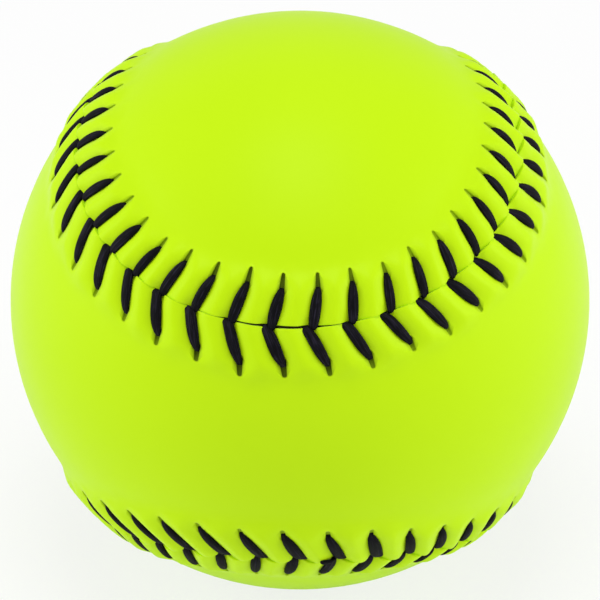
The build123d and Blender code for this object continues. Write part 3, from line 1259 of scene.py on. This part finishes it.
@dataclass(frozen=True)
class CoverLeather(Finish):
    """Satin, optic-yellow synthetic leather with a fine grain, and shade painted dark into its holes."""

    name: str = "cover_leather"
    roughness: tuple[float, float] = (0.4, 0.1)
    bump: tuple[float, float] = (0.12, 0.05)
    slot: str = "cover_yellow"
    colour: Colour = (0.58, 0.9, 0.004)
    deep: Colour = (0.565, 0.89, 0.002)
    # Painted shade: the dark olive that the holes' shade mark mixes in, in place of the shade inside the
    # slots.
    raw_edge: Colour = (0.08, 0.125, 0.002)
    raw_roughness: float = 0.3
    tint_scale: float = 70.0
    pore_scale: float = 1500.0
    pore_share: float = 0.7
    grain_scale: float = 3800.0
    specular: float = 0.1
    sheen: float = 0.1
    sheen_roughness: float = 0.35

    def sockets(self, graph: Graph) -> dict[str, Feed]:
        """A mottled colour, a grain and the painted shade of the holes."""
        place = graph.object_place()
        tint = graph.noise(place, self.tint_scale, detail=3.0)
        pores = graph.cells(place, self.pore_scale, "SMOOTH_F1")
        grain = graph.noise(place, self.grain_scale)
        shade = graph.out(graph.node("ShaderNodeAttribute", {"attribute_name": "hole_shade"}), "Fac")
        leather = graph.mix(tint, self.deep, self.colour)
        return {
            # The holes' painted shade darkens the leather towards dark olive.
            "Base Color": graph.mix(shade, leather, self.raw_edge),
            "Roughness": self.rough(grain) + self.raw_roughness * shade,
            "Specular IOR Level": self.specular,
            "Sheen Weight": self.sheen,
            "Sheen Roughness": self.sheen_roughness,
            "Normal": self.relief(graph, pores * self.pore_share + grain * (1 - self.pore_share)),
        }


@dataclass(frozen=True)
class WaxedThread(Finish):
    """Black waxed thread, with its fibres laid along each leg: lighter streaks, partly the fibres' own tone
    and partly painted sheen.
    """

    name: str = "waxed_thread"
    roughness: tuple[float, float] = (0.5, 0.25)
    bump: tuple[float, float] = (0.5, 0.12)
    slot: str = "waxed_thread"
    colour: Colour = (0.002, 0.0017, 0.0035)
    # Partly the fibres' own colour, partly a painted sheen on them.
    fibre: Colour = (0.045, 0.038, 0.07)
    streaks_along: float = 0.3
    streaks_around: float = 22.0
    streak_share: float = 0.75
    patch_scale: float = 420.0
    light_start: float = 0.5
    light_end: float = 0.8
    specular: float = 0.1

    def sockets(self, graph: Graph) -> dict[str, Feed]:
        """Lighter streaks along the thread, in patches: the fibres' own tone and a painted sheen."""
        along, around, _ = graph.split(graph.out(graph.node("ShaderNodeUVMap", {"uv_map": "fibres"})))
        stretched = graph.combine(along * self.streaks_along, around * self.streaks_around, 0.0)
        streak = graph.noise(stretched, 1.0, detail=3.0, roughness=0.6)
        patch = graph.noise(graph.object_place(), self.patch_scale)
        streak_and_sheen = graph.node(
            "ShaderNodeValToRGB",
            {"stops": [(self.light_start, BLACK), (self.light_end, WHITE)]},
            {0: streak * self.streak_share + patch * (1 - self.streak_share)},
        )
        return {
            "Base Color": graph.mix(graph.out(streak_and_sheen), self.colour, self.fibre),
            "Roughness": self.rough(streak),
            "Specular IOR Level": self.specular,
            "Normal": self.relief(graph, streak),
        }


@dataclass(frozen=True)
class CoreFoam(Finish):
    """Moulded polyurethane: cream, closed-skinned, with small pores."""

    name: str = "core_foam"
    roughness: tuple[float, float] = (0.75, 0.15)
    bump: tuple[float, float] = (0.4, 0.15)
    colour: Colour = (0.72, 0.62, 0.4)
    pore: Colour = (0.45, 0.36, 0.2)
    pore_scale: float = 900.0
    pore_depth: float = 2.2
    pore_rounding: float = 0.3
    mottle_scale: float = 60.0
    mottle_share: float = 0.3

    def sockets(self, graph: Graph) -> dict[str, Feed]:
        """Pores and a slow mottling."""
        place = graph.object_place()
        depth = graph.cells(place, self.pore_scale) * self.pore_depth
        mottle = graph.noise(place, self.mottle_scale, detail=4.0)
        pores = graph.math("SMOOTH_MIN", depth, 1.0, self.pore_rounding)
        pores = pores * (1 - self.mottle_share + self.mottle_share * mottle)
        return {
            "Base Color": graph.mix(pores, self.pore, self.colour),
            "Roughness": self.rough(mottle),
            "Normal": self.relief(graph, pores),
        }


@dataclass(frozen=True)
class RubberCement(Finish):
    """Brushed rubber cement: amber, in thick and thin patches."""

    name: str = "rubber_cement"
    roughness: tuple[float, float] = (0.3, 0.3)
    bump: tuple[float, float] = (0.4, 0.2)
    thin: Colour = (0.55, 0.38, 0.14)
    thick: Colour = (0.3, 0.16, 0.04)
    patch_scale: float = 140.0

    def sockets(self, graph: Graph) -> dict[str, Feed]:
        """Patches left by the brush."""
        patches = graph.noise(graph.object_place(), self.patch_scale, detail=5.0, roughness=0.65)
        return {
            "Base Color": graph.mix(patches, self.thin, self.thick),
            "Roughness": self.rough(patches),
            "Normal": self.relief(graph, patches),
        }


@dataclass(frozen=True)
class BackingFelt(Finish):
    """Non-woven backing of the synthetic leather: pale, matted fibres."""

    name: str = "backing_felt"
    roughness: tuple[float, float] = (0.82, 0.12)
    bump: tuple[float, float] = (0.6, 0.15)
    colour: Colour = (0.62, 0.64, 0.5)
    fibre: Colour = (0.78, 0.78, 0.68)
    bend: float = 4.0
    bend_scale: float = 500.0
    fibre_scale: float = 2600.0
    fibre_share: float = 0.7
    lump_scale: float = 220.0

    def sockets(self, graph: Graph) -> dict[str, Feed]:
        """Matted fibres in two scales."""
        place = graph.object_place()
        bend = graph.noise(place, self.bend_scale) * (self.bend * MM)
        bent = graph.vector("ADD", place, graph.combine(bend, bend, bend))
        fibres = graph.noise(bent, self.fibre_scale, detail=4.0, roughness=0.7)
        lumps = graph.noise(place, self.lump_scale)
        height = fibres * self.fibre_share + lumps * (1 - self.fibre_share)
        return {
            "Base Color": graph.mix(fibres, self.colour, self.fibre),
            "Roughness": self.rough(lumps),
            "Normal": self.relief(graph, height),
        }


@dataclass
class CoverPanel:
    """One figure-eight panel of the cover, with its sewn edge and its plain middle."""

    side: Side
    seam: Seam
    sewing: Sewing
    welt: Welt
    join_tolerance: float = 1e-9
    middle_step: float = 2.0
    middle_start: float = 19.5
    graded_rings: tuple[tuple[float, int], ...] = ((14.7, 2), (15.8, 4), (17.4, 6))

    @property
    def name(self) -> str:
        """The piece's name."""
        return f"{self.side.label}_cover"

    def build(self, tree: SewingTree, finish: bpy.types.Material) -> bpy.types.Object:
        """Sews the edge round the ball, fills the middle and joins both in one closed mesh.

        Args:
            tree: Tree that repeats and wraps the edge.
            finish: The cover's material.

        Returns:
            The finished panel.
        """
        points, faces, shade, border = self._read(self._sewn_edge(tree, finish))
        outer, inner = (
            self._ordered(points, np.flatnonzero(border == mark)) for mark in (OUTER_BORDER, INNER_BORDER)
        )
        middle, triangles = self._fill(points[outer])
        first, radius = len(points), self.seam.ball_radius
        inner_middle = middle * (radius - self.welt.thickness) / radius
        outer_index = np.concatenate([outer, first + np.arange(len(middle))])
        inner_index = np.concatenate([inner, first + len(middle) + np.arange(len(middle))])
        points = np.concatenate([points, middle, inner_middle])
        faces += [tuple(outer_index[list(face)]) for face in triangles]
        faces += [tuple(inner_index[list(reversed(face))]) for face in triangles]
        mesh = bpy.data.meshes.new(self.name)
        mesh.from_pydata(points * MM, [], [tuple(int(i) for i in face) for face in faces])
        shade = np.concatenate([shade, np.zeros(2 * len(middle))])
        mesh.attributes.new("hole_shade", "FLOAT", "POINT").data.foreach_set("value", shade)
        mesh.shade_smooth()
        mesh.materials.append(finish)
        return show(self.name, mesh)

    def _sewn_edge(self, tree: SewingTree, finish: bpy.types.Material) -> bpy.types.Mesh:
        """Makes the panel's sewn edge as one band round the ball."""
        sizes = {
            "Count": self.seam.stitch_count,
            "Smoothing": 0,
            "Swell": self.sewing.cover_swell * MM,
            "Gape Widen": self.sewing.gape_widen,
        }
        tile = StitchTile(self.side, self.seam, self.sewing, self.welt).build()
        return tree.sew(f"{self.name}_edge", tile, finish, sizes)

    @staticmethod
    def _read(mesh: bpy.types.Mesh) -> tuple[np.ndarray, list[tuple[int, ...]], np.ndarray, np.ndarray]:
        """Reads a sewn edge's points in millimetres, its faces, its hole shade and its border marks."""
        count = len(mesh.vertices)
        points = np.zeros(count * 3)
        mesh.vertices.foreach_get("co", points)
        shade, border = np.zeros(count), np.zeros(count)
        mesh.attributes["hole_shade"].data.foreach_get("value", shade)
        mesh.attributes["fill_edge"].data.foreach_get("value", border)
        faces = [tuple(face.vertices) for face in mesh.polygons]
        return points.reshape(-1, 3) / MM, faces, shade, np.round(border)

    def _ordered(self, points: np.ndarray, index: np.ndarray) -> np.ndarray:
        """Sorts border points by the nearest point of the seam."""
        nearest = np.argmax(unit(points[index]) @ self.seam.outward().T, axis=1)
        return index[np.argsort(nearest, kind="stable")]

    def _fill(self, rim: np.ndarray) -> tuple[np.ndarray, list[tuple[int, ...]]]:
        """Triangulates the plain middle of the panel inside its sewn edge.

        Args:
            rim: Points of the sewn edge's inner border, in order.

        Returns:
            New points of the middle, and triangles that count the rim first and look outwards.
        """
        middle = self._middle_points(rim)
        everything = np.concatenate([rim, middle])
        flat = [Vector(place) for place in self._flattened(everything)]
        loop = [(i, (i + 1) % len(rim)) for i in range(len(rim))]
        _, _, faces, origins, *_ = delaunay_2d_cdt(flat, loop, [], INSIDE_LOOP, self.join_tolerance)
        triangles = []
        for face in faces:
            corners = [origins[i][0] for i in face]
            one, two, three = everything[corners]
            outward = np.dot(np.cross(two - one, three - one), one + two + three) > 0
            triangles.append(tuple(corners) if outward else tuple(reversed(corners)))
        return middle, triangles

    def _middle_points(self, rim: np.ndarray) -> np.ndarray:
        """Points of the plain middle: rings that thin out from the rim, then an even scatter."""
        radius, sign = self.seam.ball_radius, self.side.value
        outward, front = self.seam.outward(), self.seam.towards_front()
        nearest = np.argmax(unit(rim) @ outward.T, axis=1)
        groups = []
        for across, stride in self.graded_rings:
            chosen = nearest[::stride]
            angle = across / radius
            groups.append(outward[chosen] * math.cos(angle) + sign * front[chosen] * math.sin(angle))
        scatter = self._even_scatter()
        cosine = scatter @ outward.T
        deep = np.max(cosine, axis=1) < math.cos(self.middle_start / radius)
        ours = np.einsum("ij,ij->i", scatter, front[np.argmax(cosine, axis=1)]) * sign > 0
        groups.append(scatter[deep & ours])
        return np.concatenate(groups) * radius

    def _even_scatter(self) -> np.ndarray:
        """Unit vectors spread over a whole ball at one step, along a spiral of golden turns."""
        spot_area = self.middle_step**2 * math.sqrt(3) / 2
        count = int(4 * math.pi * self.seam.ball_radius**2 / spot_area)
        number = np.arange(count) + 0.5
        turn = number * math.pi * (3 - math.sqrt(5))
        height = 1 - 2 * number / count
        flank = np.sqrt(1 - height**2)
        return np.stack([flank * np.cos(turn), flank * np.sin(turn), height], axis=1)

    def _flattened(self, points: np.ndarray) -> np.ndarray:
        """Projects points of the panel on a plane, from the far end of the ball."""
        direction = unit(points)
        return direction[:, [0, 2]] / (1 - self.side.value * direction[:, [1]])


@dataclass
class Thread:
    """One of the two waxed threads, which changes panel at every stitch."""

    name: str
    first: Side
    seam: Seam
    sewing: Sewing
    welt: Welt
    tail_stitch: int | None = None
    smoothing: int = 1
    tail_smoothing: int = 2

    def build(self, tree: SewingTree, finish: bpy.types.Material) -> bpy.types.Object:
        """Sews the thread round the ball, with its tail where it has one.

        Args:
            tree: Tree that repeats and wraps the stitches.
            finish: The thread's material.

        Returns:
            The finished thread.
        """
        path = StitchPath(self.first, self.seam, self.sewing, self.welt)
        sizes = {
            "Count": self.seam.stitch_count // 2,
            "Spacing": self.seam.pitch * 2 * MM,
            "Smoothing": self.smoothing,
            "Swell": self.sewing.thread_dive * MM,
        }
        stitches = tree.sew(self.name, path.build(), finish, sizes)
        mesh = bmesh.new()
        mesh.from_mesh(stitches)
        if self.tail_stitch is not None:
            tail = path.build_tail(self.tail_stitch)
            mesh.from_mesh(tree.sew("tail", tail, finish, {"Count": 1, "Smoothing": self.tail_smoothing}))
        for face in mesh.faces:
            face.material_index = 0
        mesh.to_mesh(stitches)
        mesh.free()
        stitches.materials.clear()
        stitches.materials.append(finish)
        return show(self.name, stitches)


@dataclass(frozen=True)
class Softbox:
    """A square lamp that looks at the ball: its place, its width and its power in watts."""

    name: str
    place: tuple[float, float, float]
    width: float
    power: float

    def build(self) -> None:
        """Adds the lamp."""
        data = bpy.data.lights.new(self.name, "AREA")
        data.size = self.width * MM
        data.energy = self.power
        aim(show(self.name, data), Vector(self.place) * MM)


@dataclass
class Studio:
    """Camera, floor and soft light, as in a plain product photograph."""

    distance: float = 442.8
    elevation: float = 30.71
    azimuth: float = 1.93
    lens: float = 157.6
    nearest: float = 10.0
    fill: float = 0.5
    floor_white: float = 0.78
    floor_size: float = 6000.0
    floor_colour: Colour = (0.95, 0.95, 0.95)
    softboxes: tuple[Softbox, ...] = (
        Softbox("top_softbox", (0.0, -200.0, 1300.0), 550.0, 5.6),
        Softbox("left_softbox", (-1500.0, -160.0, 560.0), 900.0, 8.9),
        Softbox("right_softbox", (1500.0, -160.0, 560.0), 900.0, 9.3),
    )

    def build(self, floor_height: float) -> None:
        """Sets up the camera, the floor, the world and the lamps."""
        self._camera()
        self._floor(floor_height)
        self._world()
        for softbox in self.softboxes:
            softbox.build()
        bpy.context.scene.view_settings.view_transform = "Standard"

    def _camera(self) -> None:
        """Adds the camera at the photograph's viewing angle."""
        tilt, turn = math.radians(self.elevation), math.radians(self.azimuth)
        back = Vector((math.sin(turn) * math.cos(tilt), -math.cos(turn) * math.cos(tilt), math.sin(tilt)))
        data = bpy.data.cameras.new("camera")
        data.lens = self.lens
        data.clip_start = self.nearest * MM
        camera = show("camera", data)
        aim(camera, back * self.distance * MM)
        bpy.context.scene.camera = camera

    def _floor(self, height: float) -> None:
        """Adds the pale floor, which takes the ball's shadow."""
        half = self.floor_size * MM / 2
        corners = [(x * half, y * half, height) for x, y in ((-1, -1), (1, -1), (1, 1), (-1, 1))]
        mesh = bpy.data.meshes.new("floor")
        mesh.from_pydata(corners, [], [(0, 1, 2, 3)])
        made = bpy.data.materials.new("floor_paper")
        graph = Graph.of(made)
        paper = graph.node("ShaderNodeBsdfDiffuse", inputs={"Color": (*self.floor_colour, 1.0)})
        white = graph.node("ShaderNodeEmission", inputs={"Strength": 1.0})
        seen = graph.out(graph.node("ShaderNodeLightPath"), "Is Camera Ray") * self.floor_white
        shader = graph.node("ShaderNodeMixShader", inputs={0: seen, 1: graph.out(paper), 2: graph.out(white)})
        graph.node("ShaderNodeOutputMaterial", inputs={"Surface": graph.out(shader)})
        mesh.materials.append(made)
        floor = show("floor", mesh)

    def _world(self) -> None:
        """Adds an even light from all round, seen as white."""
        world = bpy.data.worlds.new("studio")
        graph = Graph.of(world)
        seen = graph.out(graph.node("ShaderNodeLightPath"), "Is Camera Ray")
        strength = self.fill + (1.0 - self.fill) * seen
        sky = graph.node("ShaderNodeBackground", inputs={"Color": (*WHITE, 1.0), "Strength": strength})
        graph.node("ShaderNodeOutputWorld", inputs={"Surface": graph.out(sky)})
        bpy.context.scene.world = world


@dataclass
class Softball:
    """The whole ball: its kept inner layers, two cover panels and two threads."""

    seam: Seam = Seam()
    sewing: Sewing = Sewing()
    welt: Welt = Welt()
    leather: CoverLeather = CoverLeather()
    thread: WaxedThread = WaxedThread()
    tail_stitch: int = 43

    def build(self, nodes: dict[str, bpy.types.Object]) -> list[bpy.types.Object]:
        """Builds and dresses every piece.

        Args:
            nodes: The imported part's nodes by name.

        Returns:
            The new pieces.
        """
        shared = (self.seam, self.sewing, self.welt)
        tree = SewingTree(*shared)
        cover_finish, thread_finish = self.leather.material(), self.thread.material()
        pieces = []
        for side in Side:
            piece = CoverPanel(side, *shared).build(tree, cover_finish)
            self._stand_for(piece, f"{side.label}_panel_face", self.leather.slot)
            pieces.append(piece)
        for name, first, tail in (
            ("thread_one", Side.FRONT, None),
            ("thread_two", Side.BACK, self.tail_stitch),
        ):
            piece = Thread(f"{name}_stitches", first, *shared, tail).build(tree, thread_finish)
            self._stand_for(piece, name, self.thread.slot)
            pieces.append(piece)
        self._dress_inside(nodes)
        return pieces

    @staticmethod
    def _stand_for(piece: bpy.types.Object, node: str, slot: str) -> None:
        """Lets a piece ride on the ball in place of a node."""
        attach(piece, BODY)
        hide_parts(node)

    @staticmethod
    def _dress_inside(nodes: dict[str, bpy.types.Object]) -> None:
        """Gives the kept inner layers their materials."""
        felt = BackingFelt().material()
        inside = {
            "core": CoreFoam().material(),
            "cement_coat": RubberCement().material(),
            "front_panel_backing": felt,
            "back_panel_backing": felt,
        }
        for name, material in inside.items():
            nodes[name].data.materials.clear()
            nodes[name].data.materials.append(material)


def main() -> None:
    """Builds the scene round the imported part."""
    logging.basicConfig(level=logging.INFO, format="%(name)s: %(message)s")
    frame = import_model()
    ball = Softball()
    for piece in ball.build(frame["nodes"]):
        log.info("%s: %d faces", piece.name, len(piece.data.polygons))
    Studio().build(-ball.seam.ball_radius * MM)


if __name__ == "__main__":
    main()
